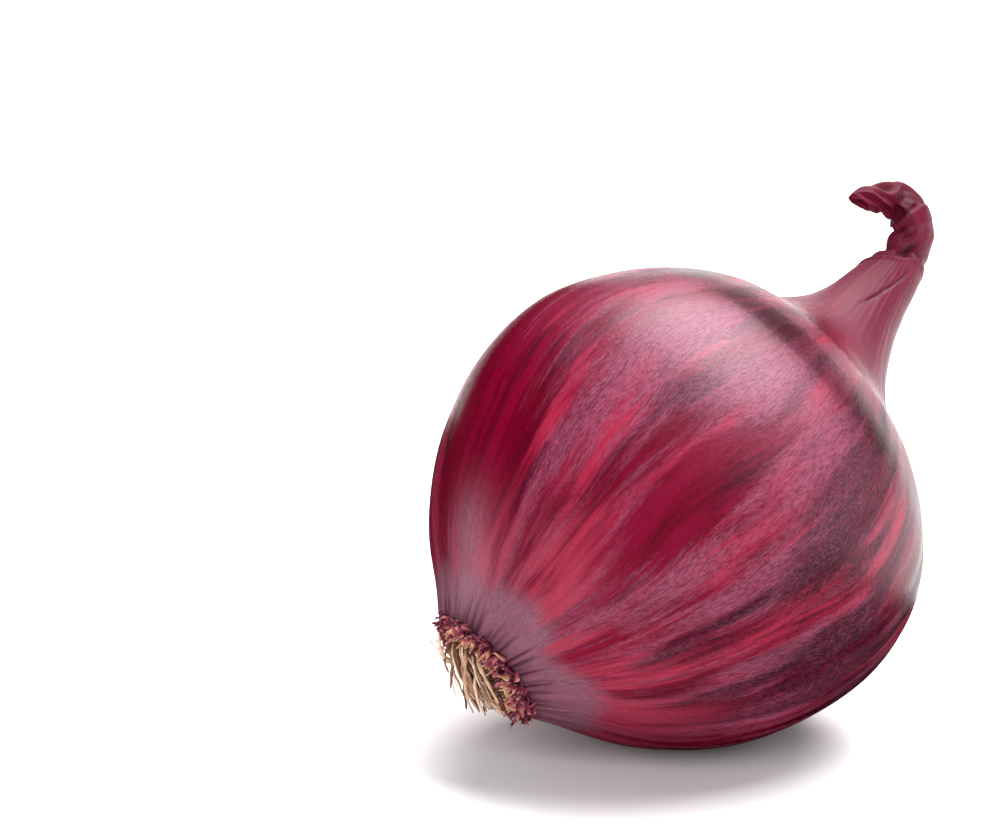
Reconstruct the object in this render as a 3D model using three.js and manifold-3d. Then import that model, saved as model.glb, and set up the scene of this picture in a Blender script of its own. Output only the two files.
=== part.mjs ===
// A whole cured red onion, lying on its side on a table.
//
// The bulb, its neck and the torn skin round its root end grew as one piece, so they are one solid.
// Its surface is a tube of rings carried along a spine: the spine runs straight from the root end
// through the bulb, then bends up through the dried neck and hooks over at the withered tip.
// The basal plate with its tuft of dried roots is the other solid. It sits in a shallow cup at the
// root end of the bulb.
//
// Units are millimetres, +Z is up. The origin is the centre of the small flat spot that the onion
// rests on, and +X is the heading of the neck.
//
// Bulb axes, used for every shape before the onion is laid down: "along" runs from the root end to
// the neck, "up" is square to it in the upright plane, and "across" is level, towards +Y.

import * as THREE from "three";
import { mergeVertices } from "three/addons/utils/BufferGeometryUtils.js";
import Module from "manifold-3d";

const wasm = await Module();
wasm.setup();

// Driving dimensions
const bulbDiameter = 80;
const bulbLength = 79;
const neckDiameter = 9;
const plateDiameter = 16;
const tilt = THREE.MathUtils.degToRad(31.8); // the bulb's axis above the table
const flatSpotDepth = 0.6;
const seatGap = 0.3; // between the root plate and its cup

const bulbRadius = bulbDiameter / 2;
const neckRadius = neckDiameter / 2;
const plateRadius = plateDiameter / 2;

// How finely the surfaces are cut up
const sidesRound = 80;
const ringsAlong = 50;

// The bulb's rings: share of its length, share of its radius, and how far the ring's centre lies
// off the straight axis (up, across). The small offsets are the bulb's own lopsidedness.
const bulbRings = [
  [0.0, 0.235, 0.6, 0.3],
  [0.05, 0.366, 0.3, 0.1],
  [0.15, 0.634, -0.3, -0.2],
  [0.3, 0.866, -0.7, -0.4],
  [0.45, 0.977, -0.8, -0.5],
  [0.6, 1.0, -1.3, -0.7],
  [0.75, 0.903, -2.0, -0.9],
  [0.9, 0.64, -1.2, -0.4],
  [0.975, 0.385, -0.1, 0.0],
];

// The neck's rings: along, up, across, radius as a share of the neck's, and how flat it is pressed
const neckRings = [
  [84.0, 0.9, 0.3, 2.12, 1.0],
  [89.2, 1.4, 1.2, 1.62, 0.95],
  [93.7, 1.8, 1.9, 1.38, 0.9],
  [98.2, 2.3, 2.2, 1.16, 0.85],
  [101.2, 3.0, 2.3, 1.02, 0.8],
  [103.6, 4.0, 2.5, 0.93, 0.75],
  [105.9, 5.2, 2.7, 0.84, 0.75],
  [107.2, 7.4, 3.2, 0.88, 0.8],
  [107.3, 9.9, 3.7, 0.82, 0.8],
  [106.0, 12.3, 4.2, 0.62, 0.8],
  [103.7, 14.4, 4.7, 0.42, 0.8],
  [101.6, 16.0, 5.3, 0.32, 0.8],
  [100.3, 16.9, 5.8, 0.14, 0.9],
];

// Relief of the skin
const rootPleats = { count: 20, height: 0.3, reach: 7 }; // gathers round the root end
const shoulderRibs = { count: 16, height: 0.22, start: 52, full: 80 }; // veins towards the neck
const neckFolds = { count: 8, height: 0.07 }; // share of the neck's radius
const foldLine = { along: 101.8, width: 1.1, depth: 0.2 }; // where the dry neck is bent over
const neckStart = 84; // along the axis, where the shoulder has run out into the neck

// Torn skin round the root end
const tatters = { count: 26, height: 3.4, width: 2.4, thickness: 0.8, ring: 9.4 };

// Dried roots, each sunk into the plate that far
const roots = { count: 46, length: 9, radius: 0.62, sunk: 1.6, sides: 4, steps: 4 };

// Every random draw comes from this seeded generator, so the part is the same each time.
function makeRandom(seed) {
  let state = seed;
  return (low, high) => {
    state = (state * 1664525 + 1013904223) % 4294967296;
    return low + ((high - low) * state) / 4294967296;
  };
}

function smoothStep(low, high, x) {
  const t = THREE.MathUtils.clamp((x - low) / (high - low), 0, 1);
  return t * t * (3 - 2 * t);
}

// All rings as [along, up, across, radius, flatness], with a knot value that grows with the
// distance travelled over the surface.
const rings = [
  ...bulbRings.map(([share, width, up, across]) => [
    share * bulbLength,
    up,
    across,
    width * bulbRadius,
    1,
  ]),
  ...neckRings.map(([along, up, across, width, flatness]) => [
    along,
    up,
    across,
    width * neckRadius,
    flatness,
  ]),
];
const knots = [0];
for (let i = 1; i < rings.length; i++) {
  const [a, b] = [rings[i - 1], rings[i]];
  const step = Math.hypot(b[0] - a[0], b[1] - a[1], b[2] - a[2], b[3] - a[3]);
  knots.push(knots[i - 1] + step);
}

// A smooth curve through the rings: cubic pieces whose slope at each ring is that of the
// parabola through it and its two neighbours.
function slopeAt(i, k) {
  const last = rings.length - 1;
  const [a, b] = [Math.max(i - 1, 0), Math.min(i + 1, last)];
  if (a === i || b === i) {
    return (rings[b][k] - rings[a][k]) / (knots[b] - knots[a]);
  }
  const before = (rings[i][k] - rings[a][k]) / (knots[i] - knots[a]);
  const after = (rings[b][k] - rings[i][k]) / (knots[b] - knots[i]);
  const share = (knots[b] - knots[i]) / (knots[b] - knots[a]);
  return before * share + after * (1 - share);
}

function ringAt(s) {
  let i = 0;
  while (i < rings.length - 2 && s > knots[i + 1]) {
    i++;
  }
  const span = knots[i + 1] - knots[i];
  const t = (s - knots[i]) / span;
  const [t2, t3] = [t * t, t * t * t];
  return rings[i].map(
    (value, k) =>
      value * (2 * t3 - 3 * t2 + 1) +
      slopeAt(i, k) * span * (t3 - 2 * t2 + t) +
      rings[i + 1][k] * (3 * t2 - 2 * t3) +
      slopeAt(i + 1, k) * span * (t3 - t2),
  );
}

// The axes of the ring at s. Through the bulb the rings are square to the straight axis, and
// along the neck they turn to stay square to the bent spine.
const straight = new THREE.Vector3(1, 0, 0);
function ringAxes(s) {
  const reach = 0.4;
  const ahead = ringAt(Math.min(s + reach, knots.at(-1)));
  const behind = ringAt(Math.max(s - reach, 0));
  const spine = new THREE.Vector3(
    ahead[0] - behind[0],
    ahead[1] - behind[1],
    ahead[2] - behind[2],
  ).normalize();
  const bend = smoothStep(neckStart - 4, neckStart + 12, ringAt(s)[0]);
  const normal = straight.clone().lerp(spine, bend).normalize();
  const turn = new THREE.Quaternion().setFromUnitVectors(straight, normal);
  return {
    normal,
    upward: new THREE.Vector3(0, 1, 0).applyQuaternion(turn),
    sideways: new THREE.Vector3(0, 0, 1).applyQuaternion(turn),
  };
}

// How far the skin stands off its smooth ring at an angle round the axis
function relief(ring, angle) {
  const [along, , , radius] = ring;
  const lobes =
    0.3 * Math.sin(2 * angle + 0.7) + 0.22 * Math.sin(3 * angle + 2.1) + 0.12 * Math.sin(5 * angle);
  const onBulb = smoothStep(8, 30, along) * (1 - smoothStep(66, neckStart, along));
  const pleat = Math.cos(rootPleats.count * angle + 1.5 * Math.sin(3 * angle));
  const nearRoot = 1 - smoothStep(0, rootPleats.reach, along);
  const rib = Math.cos(shoulderRibs.count * angle + 1.2 * Math.sin(2 * angle));
  const { start, full } = shoulderRibs;
  const pastNeck = smoothStep(neckStart + 2, neckStart + 8, along);
  const nearNeck = smoothStep(start, full, along) * (1 - pastNeck);
  const fold = Math.sin(neckFolds.count * angle + 0.9 * Math.sin(2 * angle + along / 9));
  const onNeck = smoothStep(neckStart, neckStart + 10, along);
  return (
    lobes * onBulb +
    pleat * rootPleats.height * nearRoot +
    rib * shoulderRibs.height * nearNeck +
    fold * neckFolds.height * radius * onNeck
  );
}

// The crease where the neck is folded: a notch round the side that it bends towards
function creaseDepth(ring, angle) {
  const offset = (ring[0] - foldLine.along) / foldLine.width;
  const belowHook = 1 - smoothStep(6, 8, ring[1]);
  const oneSided = 0.6 + 0.4 * Math.cos(angle);
  return foldLine.depth * ring[3] * Math.exp(-offset * offset) * oneSided * belowHook;
}

function skinPoint(s, angle) {
  const ring = ringAt(s);
  const axes = ringAxes(s);
  const radius = ring[3] + relief(ring, angle) - creaseDepth(ring, angle);
  return new THREE.Vector3(ring[0], ring[1], ring[2])
    .addScaledVector(axes.upward, radius * Math.cos(angle))
    .addScaledVector(axes.sideways, radius * ring[4] * Math.sin(angle));
}

// A closed solid from loops of points, each with the same count, with a cap at both ends
function loft(loops, firstTip, lastTip) {
  const n = loops[0].length;
  const points = [...loops.flat(), firstTip, lastTip];
  const [first, last] = [points.length - 2, points.length - 1];
  const faces = [];
  for (let j = 0; j < n; j++) {
    const k = (j + 1) % n;
    faces.push([first, k, j]);
    for (let i = 0; i + 1 < loops.length; i++) {
      const [a, b] = [i * n, (i + 1) * n];
      faces.push([a + j, a + k, b + k], [a + j, b + k, b + j]);
    }
    const end = (loops.length - 1) * n;
    faces.push([last, end + j, end + k]);
  }
  return solidFrom(points, faces);
}

// Whichever way the faces were listed, the solid comes out with them pointing outwards.
function solidFrom(points, faces) {
  const volume = faces.reduce(
    (sum, [a, b, c]) => sum + points[a].dot(points[b].clone().cross(points[c])),
    0,
  );
  const order = volume > 0 ? faces : faces.map(([a, b, c]) => [a, c, b]);
  return new wasm.Manifold(
    new wasm.Mesh({
      numProp: 3,
      vertProperties: new Float32Array(points.flatMap((p) => p.toArray())),
      triVerts: new Uint32Array(order.flat()),
    }),
  );
}

function joined(solids) {
  return solids.reduce((whole, next) => whole.add(next));
}

function centreOf(loop) {
  return loop.reduce((sum, p) => sum.add(p), new THREE.Vector3()).divideScalar(loop.length);
}

// The bulb's skin, from the lip of the cup at its root end to its withered tip
const lipInner = plateRadius + seatGap;
const cupFloor = 2.4;
const rootCentre = new THREE.Vector3(0, bulbRings[0][2], bulbRings[0][3]);

function rootCircle(along, radius) {
  return Array.from({ length: sidesRound }, (_, j) => {
    const angle = (2 * Math.PI * j) / sidesRound;
    return new THREE.Vector3(
      along,
      rootCentre.y + radius * Math.cos(angle),
      rootCentre.z + radius * Math.sin(angle),
    );
  });
}

// Rings lie closer together where the skin turns fast: at the root end and along the neck.
function ringPlaces() {
  const bulbEnd = knots[bulbRings.length - 1];
  const neckShare = 0.42;
  const bulbCount = Math.round(ringsAlong * (1 - neckShare));
  const places = [];
  for (let i = 0; i < bulbCount; i++) {
    places.push(bulbEnd * (i / bulbCount) ** 1.15);
  }
  for (let i = 0; i <= ringsAlong - bulbCount; i++) {
    places.push(bulbEnd + ((knots.at(-1) - bulbEnd) * i) / (ringsAlong - bulbCount));
  }
  return places;
}

function bulbSolid() {
  const skin = ringPlaces().map((s) =>
    Array.from({ length: sidesRound }, (_, j) => skinPoint(s, (2 * Math.PI * j) / sidesRound)),
  );
  const cup = [rootCircle(cupFloor, lipInner), rootCircle(-0.1, lipInner)];
  const floorCentre = new THREE.Vector3(cupFloor, rootCentre.y, rootCentre.z);
  const end = ringAt(knots.at(-1));
  const tip = new THREE.Vector3(end[0] - 0.5, end[1] + 0.3, end[2] + 0.2);
  return loft([...cup, ...skin], floorCentre, tip);
}

// A pointed scrap of dry skin that stands up from the rim of the root end. Grow makes it that
// much larger all round, to cut room for it.
function tatter(angle, height, width, lean, curl, grow) {
  const outward = new THREE.Vector3(0, Math.cos(angle), Math.sin(angle));
  const round = new THREE.Vector3(0, -Math.sin(angle), Math.cos(angle));
  const foot = rootCentre.clone().addScaledVector(outward, tatters.ring);
  const buried = 1.2;
  const levels = [
    [0, 1.0, 0],
    [0.35, 0.95, 0.1],
    [0.7, 0.65, 0.5],
    [1.0, 0.2, 1.0],
  ];
  const loops = levels.map(([share, narrowing, bend]) => {
    const middle = foot
      .clone()
      .addScaledVector(straight, buried - share * (height + buried + grow))
      .addScaledVector(outward, lean * bend)
      .addScaledVector(round, curl * bend);
    const half = (width / 2) * narrowing + grow;
    const thick = (tatters.thickness / 2) * (0.6 + 0.4 * narrowing) + grow;
    return [
      middle.clone().addScaledVector(round, half),
      middle.clone().addScaledVector(outward, thick),
      middle.clone().addScaledVector(round, -half),
      middle.clone().addScaledVector(outward, -thick),
    ];
  });
  return loft(loops, centreOf(loops[0]), centreOf(loops.at(-1)));
}

function tatterSolids(grow) {
  const random = makeRandom(7);
  return Array.from({ length: tatters.count }, (_, i) => {
    const angle = (2 * Math.PI * (i + random(-0.3, 0.3))) / tatters.count;
    const height = tatters.height * random(0.5, 1.15);
    const width = tatters.width * random(0.75, 1.15);
    return tatter(angle, height, width, random(-0.9, 0.7), random(-0.8, 0.8), grow);
  });
}

// The basal plate: a low dome with a crumbly edge, seated in the cup
function plateSolid() {
  const random = makeRandom(19);
  const sides = 24;
  const profile = [
    [cupFloor - seatGap, plateRadius * 0.92, 0],
    [0.6, plateRadius * 0.97, 0.03],
    [-0.6, plateRadius * 0.86, 0.12],
    [-1.4, plateRadius * 0.6, 0.12],
    [-1.8, plateRadius * 0.3, 0.15],
  ];
  const loops = profile.map(([along, radius, rough]) =>
    Array.from({ length: sides }, (_, j) => {
      const angle = (2 * Math.PI * j) / sides;
      const r = radius * (1 - random(0, rough));
      const sunk = random(0, rough * 4);
      return new THREE.Vector3(
        along - sunk,
        rootCentre.y + r * Math.cos(angle),
        rootCentre.z + r * Math.sin(angle),
      );
    }),
  );
  const under = new THREE.Vector3(cupFloor - seatGap, rootCentre.y, rootCentre.z);
  const crown = new THREE.Vector3(-1.7, rootCentre.y, rootCentre.z);
  return loft(loops, under, crown);
}

// A dried root: a tapering strand that leaves the plate and then hangs towards the ground
const gravity = new THREE.Vector3(-Math.sin(tilt), -Math.cos(tilt), 0);
function rootStrand(start, heading, length, radius, droop) {
  const loops = [];
  const place = start.clone().addScaledVector(heading, -roots.sunk);
  const way = heading.clone();
  const step = (length + roots.sunk) / roots.steps;
  for (let i = 0; i <= roots.steps; i++) {
    const side = new THREE.Vector3(0.3, 0.2, 1).cross(way).normalize();
    const other = way.clone().cross(side);
    const r = radius * (1 - 0.55 * (i / roots.steps));
    loops.push(
      Array.from({ length: roots.sides }, (_, j) => {
        const a = (2 * Math.PI * (j + 0.5)) / roots.sides;
        return place
          .clone()
          .addScaledVector(side, r * Math.cos(a))
          .addScaledVector(other, r * Math.sin(a));
      }),
    );
    if (i < roots.steps) {
      place.addScaledVector(way, step);
      way.addScaledVector(gravity, droop / roots.steps).normalize();
    }
  }
  return loft(loops, centreOf(loops[0]), place.clone().addScaledVector(way, 0.3));
}

// Roots stand on the plate in a sunflower spiral and fan outwards. Those on the lower side are
// longer and lie over the rim.
function rootSolids() {
  const random = makeRandom(43);
  const goldenAngle = Math.PI * (3 - Math.sqrt(5));
  return Array.from({ length: roots.count }, (_, i) => {
    const share = Math.sqrt((i + 0.5) / roots.count);
    const angle = i * goldenAngle;
    const outward = new THREE.Vector3(0, Math.cos(angle), Math.sin(angle));
    const start = rootCentre.clone().addScaledVector(outward, plateRadius * 0.8 * share);
    start.x = -1.2 + 0.8 * share;
    const heading = new THREE.Vector3(-1, random(-0.3, 0.3), random(-0.3, 0.3))
      .addScaledVector(outward, 0.75 * share)
      .normalize();
    const lower = 0.5 - 0.5 * Math.cos(angle);
    const length = roots.length * random(0.35, 0.75) * (0.65 + 0.6 * lower);
    return rootStrand(start, heading, length, roots.radius * random(0.75, 1.15), random(0.6, 1.6));
  });
}

// Lays a solid down: the axis tilts up from the table, and the flat spot's centre is the origin.
function laidDown(solid, rest) {
  const lay = new THREE.Matrix4()
    .makeTranslation(-rest.x, -rest.y, -rest.z)
    .multiply(
      new THREE.Matrix4().set(
        Math.cos(tilt), -Math.sin(tilt), 0, 0,
        0, 0, 1, 0,
        Math.sin(tilt), Math.cos(tilt), 0, 0,
        0, 0, 0, 1,
      ),
    );
  const { vertProperties, triVerts, numProp } = solid.getMesh();
  const points = [];
  for (let i = 0; i < vertProperties.length; i += numProp) {
    points.push(new THREE.Vector3().fromArray(vertProperties, i).applyMatrix4(lay));
  }
  const faces = [];
  for (let i = 0; i < triVerts.length; i += 3) {
    faces.push([triVerts[i], triVerts[i + 1], triVerts[i + 2]]);
  }
  return solidFrom(points, faces);
}

// The lowest point of the bulb once it is tilted, raised to where the flat spot is cut
function restingPoint(solid) {
  const { vertProperties, numProp } = solid.getMesh();
  let lowest = new THREE.Vector3(0, 0, Infinity);
  for (let i = 0; i < vertProperties.length; i += numProp) {
    const [along, up, across] = vertProperties.subarray(i, i + 3);
    const x = along * Math.cos(tilt) - up * Math.sin(tilt);
    const z = along * Math.sin(tilt) + up * Math.cos(tilt);
    if (z < lowest.z) {
      lowest = new THREE.Vector3(x, across, z);
    }
  }
  return lowest.setZ(lowest.z + flatSpotDepth);
}

function solidOf(geometry) {
  geometry.deleteAttribute("normal");
  geometry.deleteAttribute("uv");
  const merged = mergeVertices(geometry);
  return new wasm.Manifold(
    new wasm.Mesh({
      numProp: 3,
      vertProperties: merged.attributes.position.array,
      triVerts: new Uint32Array(merged.index.array),
    }),
  );
}

function geometryOf(solid) {
  const { vertProperties, triVerts, numProp } = solid.getMesh();
  const positions = new Float32Array((vertProperties.length / numProp) * 3);
  for (let i = 0; i < positions.length / 3; i++) {
    positions.set(vertProperties.subarray(i * numProp, i * numProp + 3), i * 3);
  }
  const geometry = new THREE.BufferGeometry();
  geometry.setAttribute("position", new THREE.BufferAttribute(positions, 3));
  geometry.setIndex(new THREE.BufferAttribute(triVerts, 1));
  geometry.computeVertexNormals();
  return geometry;
}

const skin = new THREE.MeshStandardMaterial({ color: 0x6e1030, roughness: 0.35, metalness: 0 });
const driedRoot = new THREE.MeshStandardMaterial({ color: 0xb7977c, roughness: 0.85, metalness: 0 });

const bulbBody = bulbSolid();
const rest = restingPoint(bulbBody);
const table = new THREE.BoxGeometry(400, 400, 40).translate(0, 0, -20);
const bulbShape = laidDown(joined([bulbBody, ...tatterSolids(0)]), rest).subtract(solidOf(table));

// Room is cut for the torn skin, and what that cuts off is dropped.
const wholeTuft = joined([plateSolid(), ...rootSolids()]).subtract(joined(tatterSolids(seatGap)));
const largest = wholeTuft.decompose().reduce((a, b) => (a.volume() > b.volume() ? a : b));
const tuftShape = laidDown(largest, rest);

const bulb = new THREE.Mesh(geometryOf(bulbShape), skin);
bulb.name = "bulb";
const rootTuft = new THREE.Mesh(geometryOf(tuftShape), driedRoot);
rootTuft.name = "root_tuft";

const onion = new THREE.Group();
onion.name = "onion";
onion.add(bulb, rootTuft);

export default onion;
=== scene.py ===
import math
import bpy
import numpy as np
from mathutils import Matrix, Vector


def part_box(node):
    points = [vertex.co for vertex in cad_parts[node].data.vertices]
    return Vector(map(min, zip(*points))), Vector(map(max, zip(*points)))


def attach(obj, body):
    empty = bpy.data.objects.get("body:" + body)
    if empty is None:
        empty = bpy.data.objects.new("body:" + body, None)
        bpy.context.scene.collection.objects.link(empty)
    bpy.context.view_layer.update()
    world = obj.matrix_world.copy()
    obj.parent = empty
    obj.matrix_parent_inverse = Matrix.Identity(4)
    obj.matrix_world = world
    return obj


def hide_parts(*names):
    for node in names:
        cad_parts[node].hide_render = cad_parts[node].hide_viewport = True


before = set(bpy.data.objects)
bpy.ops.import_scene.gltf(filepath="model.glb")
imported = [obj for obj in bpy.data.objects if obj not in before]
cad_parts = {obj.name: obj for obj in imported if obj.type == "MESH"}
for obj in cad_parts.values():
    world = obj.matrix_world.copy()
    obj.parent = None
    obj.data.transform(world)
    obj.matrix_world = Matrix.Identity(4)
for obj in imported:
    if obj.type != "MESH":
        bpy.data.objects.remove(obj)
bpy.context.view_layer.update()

# A whole red onion lying on its side, in its dry striped skin. Shapes are worked out in
# millimetres in the onion's own axes: along the bulb from the root end to the neck, up, and
# across. layDown then turns them to metres on the table
mm = 0.001

onion = {
    "bulbDiameter": 80,
    "bulbLength": 79,
    "neckDiameter": 9,
    "plateDiameter": 16,
    "tiltDegrees": 31.8,  # the bulb's axis above the table
    "flatSpotDepth": 0.6,
    "seatGap": 0.3,  # between the root plate and its cup
    "cupFloor": 2.4,
    "neckStart": 84,  # along the axis, where the shoulder has run out into the neck
}
bulbRadius = onion["bulbDiameter"] / 2
neckRadius = onion["neckDiameter"] / 2
plateRadius = onion["plateDiameter"] / 2
tilt = math.radians(onion["tiltDegrees"])
neckStart = onion["neckStart"]

# share of the bulb's length, share of its radius, and the ring's offset (up, across)
bulbRings = [
    (0.0, 0.235, 0.6, 0.3),
    (0.05, 0.366, 0.3, 0.1),
    (0.15, 0.634, -0.3, -0.2),
    (0.3, 0.866, -0.7, -0.4),
    (0.45, 0.977, -0.8, -0.5),
    (0.6, 1.0, -1.3, -0.7),
    (0.75, 0.903, -2.0, -0.9),
    (0.9, 0.64, -1.2, -0.4),
    (0.975, 0.385, -0.1, 0.0),
]

# along, up, across, share of the neck's radius, and how flat it is pressed
neckRings = [
    (84.0, 0.9, 0.3, 2.12, 1.0),
    (89.2, 1.4, 1.2, 1.62, 0.95),
    (93.7, 1.8, 1.9, 1.38, 0.9),
    (98.2, 2.3, 2.2, 1.16, 0.85),
    (101.2, 3.0, 2.3, 1.02, 0.8),
    (103.6, 4.0, 2.5, 0.93, 0.75),
    (105.9, 5.2, 2.7, 0.84, 0.75),
    (107.2, 7.4, 3.2, 0.88, 0.8),
    (107.3, 9.9, 3.7, 0.82, 0.8),
    (106.0, 12.3, 4.2, 0.62, 0.8),
    (103.7, 14.4, 4.7, 0.42, 0.8),
    (101.6, 16.0, 5.3, 0.32, 0.8),
    (100.3, 16.9, 5.8, 0.14, 0.9),
]

rings = np.array(
    [
        (share * onion["bulbLength"], up, across, width * bulbRadius, 1)
        for share, width, up, across in bulbRings
    ]
    + [
        (along, up, across, width * neckRadius, flat)
        for along, up, across, width, flat in neckRings
    ]
)
knots = np.concatenate([[0], np.cumsum(np.linalg.norm(np.diff(rings[:, :4], axis=0), axis=1))])
knotGaps = np.diff(knots)
lastKnot = knots[-1]
bulbEnd = knots[len(bulbRings) - 1]
rootCentre = rings[0, :3]


def smoothStep(low, high, x):
    # 3t^2 - 2t^3, where t runs from 0 at low to 1 at high
    t = np.clip((x - low) / (high - low), 0, 1)
    return t * t * (3 - 2 * t)


def bell(x, width):
    # exp(-(x / width)^2)
    return np.exp(-((x / width) ** 2))


def unit(v):
    # v divided by its own length
    return v / np.linalg.norm(v, axis=-1, keepdims=True)


# the slope of the parabola through each ring and its two neighbours, and the chord's at the ends
chords = np.diff(rings, axis=0) / knotGaps[:, None]
leading = (knotGaps[1:] / (knotGaps[:-1] + knotGaps[1:]))[:, None]
slopes = np.vstack([chords[:1], chords[:-1] * leading + chords[1:] * (1 - leading), chords[-1:]])


def ringsAt(s):
    # a cubic between each two rings, with the rings' own values and slopes at its ends
    i = np.clip(np.searchsorted(knots, s) - 1, 0, len(rings) - 2)
    span = knotGaps[i][:, None]
    t = (s - knots[i])[:, None] / span
    return (
        rings[i] * (2 * t**3 - 3 * t**2 + 1)
        + slopes[i] * span * (t**3 - 2 * t**2 + t)
        + rings[i + 1] * (3 * t**2 - 2 * t**3)
        + slopes[i + 1] * span * (t**3 - t**2)
    )


def axesAt(s):
    # the upright and sideways directions of each ring: square to the straight axis in the bulb,
    # turned by the shortest turn to stay square to the bent spine in the neck
    reach = 0.4
    ahead = ringsAt(np.minimum(s + reach, lastKnot))[:, :3]
    behind = ringsAt(np.maximum(s - reach, 0))[:, :3]
    straight = np.array([1.0, 0, 0])
    bend = smoothStep(neckStart - 4, neckStart + 12, ringsAt(s)[:, :1])
    normal = unit(straight + (unit(ahead - behind) - straight) * bend)
    turn = np.cross(straight, normal)
    turned = []
    for axis in ((0, 1, 0), (0, 0, 1)):
        once = np.cross(turn, np.array(axis, float))
        turned.append(axis + once + np.cross(turn, once) / (1 + normal[:, :1]))
    return turned


skinRelief = {
    "pleatCount": 20,
    "pleatHeight": 0.3,
    "pleatReach": 7,
    "ribCount": 16,
    "ribHeight": 0.22,
    "ribStart": 52,
    "ribFull": 80,
    "foldCount": 8,
    "foldHeight": 0.07,  # share of the neck's radius
    "creaseAlong": 101.8,
    "creaseWidth": 1.1,
    "creaseDepth": 0.2,
}


def neckPleats(ring, angle):
    # ribs cos(16a) towards the neck and folds sin(8a) along it, faded in and out along the axis
    k = skinRelief
    along, radius = ring[:, 0:1], ring[:, 3:4]
    rib = np.cos(k["ribCount"] * angle + 1.2 * np.sin(2 * angle))
    pastNeck = smoothStep(neckStart + 2, neckStart + 8, along)
    nearNeck = smoothStep(k["ribStart"], k["ribFull"], along) * (1 - pastNeck)
    fold = np.sin(k["foldCount"] * angle + 0.9 * np.sin(2 * angle + along / 9))
    onNeck = smoothStep(neckStart, neckStart + 10, along)
    return rib * k["ribHeight"] * nearNeck + fold * k["foldHeight"] * radius * onNeck


def mainRelief(ring, angle):
    # lobes sin(2a), sin(3a), sin(5a) on the bulb, pleats round the root end and along the neck,
    # and the crease that is pressed in below the hook
    k = skinRelief
    along, radius = ring[:, 0:1], ring[:, 3:4]
    lobes = (
        0.3 * np.sin(2 * angle + 0.7) + 0.22 * np.sin(3 * angle + 2.1) + 0.12 * np.sin(5 * angle)
    )
    onBulb = smoothStep(8, 30, along) * (1 - smoothStep(66, neckStart, along))
    pleat = np.cos(k["pleatCount"] * angle + 1.5 * np.sin(3 * angle))
    nearRoot = 1 - smoothStep(0, k["pleatReach"], along)
    crease = bell(along - k["creaseAlong"], k["creaseWidth"]) * (0.6 + 0.4 * np.cos(angle))
    belowHook = 1 - smoothStep(6, 8, ring[:, 1:2])
    return (
        lobes * onBulb
        + pleat * k["pleatHeight"] * nearRoot
        + neckPleats(ring, angle)
        - crease * k["creaseDepth"] * radius * belowHook
    )


def skinPoints(s, angle, extra=0):
    # ring centre + upright * r * cos(a) + sideways * r * flatness * sin(a), where r is the
    # ring's radius with the relief added
    ring = ringsAt(s)
    upright, sideways = axesAt(s)
    r = ring[:, 3:4] + mainRelief(ring, angle) + extra
    return (
        ring[:, None, :3]
        + upright[:, None] * (r * np.cos(angle))[..., None]
        + sideways[:, None] * (r * ring[:, 4:5] * np.sin(angle))[..., None]
    )


def tilted(points):
    # along and up are turned by the tilt in the upright plane, across stays level
    along, up, across = np.moveaxis(np.asarray(points, float), -1, 0)
    return np.stack(
        [
            along * math.cos(tilt) - up * math.sin(tilt),
            across,
            along * math.sin(tilt) + up * math.cos(tilt),
        ],
        -1,
    )


def restingPoint():
    # the lowest corner of the CAD solid's own grid of rings, raised to the flat spot
    sides, count, neckShare = 80, 50, 0.42
    inBulb = round(count * (1 - neckShare))
    inNeck = count - inBulb
    places = np.concatenate(
        [
            bulbEnd * (np.arange(inBulb) / inBulb) ** 1.15,
            bulbEnd + (lastKnot - bulbEnd) * np.arange(inNeck + 1) / inNeck,
        ]
    )
    angle = 2 * np.pi * np.arange(sides) / sides
    points = tilted(skinPoints(places, angle)).reshape(-1, 3)
    return points[points[:, 2].argmin()] + [0, 0, onion["flatSpotDepth"]]


rest = restingPoint()
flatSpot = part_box("bulb")[0].z


def layDown(points):
    # the tilted place less the resting point, in metres, and never below the flat spot
    placed = (tilted(points) - rest) * mm
    placed[..., 2] = np.maximum(placed[..., 2], flatSpot)
    return placed


def waves(angle, along, seed, turns, lengths, terms=7):
    # a sum of sine waves, each with a whole number of turns round the axis, so that it meets
    # itself, and a slow drift along it; about -1 to 1
    random = np.random.default_rng(seed)
    total = 0
    for _ in range(terms):
        rounds = random.integers(*turns)
        drift = random.choice([-1, 1]) * 2 * np.pi / random.uniform(*lengths)
        total = total + np.sin(rounds * angle + drift * along + random.uniform(0, 2 * np.pi))
    return total / math.sqrt(terms)


def gridFaces(rows, columns, closed=True):
    # the four corners of each cell of a grid, wrapped round its columns when closed
    i = np.arange(rows - 1)[:, None]
    j = np.arange(columns if closed else columns - 1)[None]
    k = (j + 1) % columns
    cells = [i * columns + j, i * columns + k, (i + 1) * columns + k, (i + 1) * columns + j]
    return np.stack(np.broadcast_arrays(*cells), -1).reshape(-1, 4)


def closedForm(loops, start, end):
    # the points and faces of a grid of loops, with a fan of triangles to a point at each end
    rows, columns = loops.shape[:2]
    points = np.concatenate([loops.reshape(-1, 3), [start, end]])
    j = np.arange(columns)
    following = (j + 1) % columns
    last = (rows - 1) * columns
    startFan = np.stack([np.full(columns, rows * columns), following, j], -1)
    endFan = np.stack([np.full(columns, rows * columns + 1), last + j, last + following], -1)
    return points, [gridFaces(rows, columns), startFan, endFan]


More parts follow.
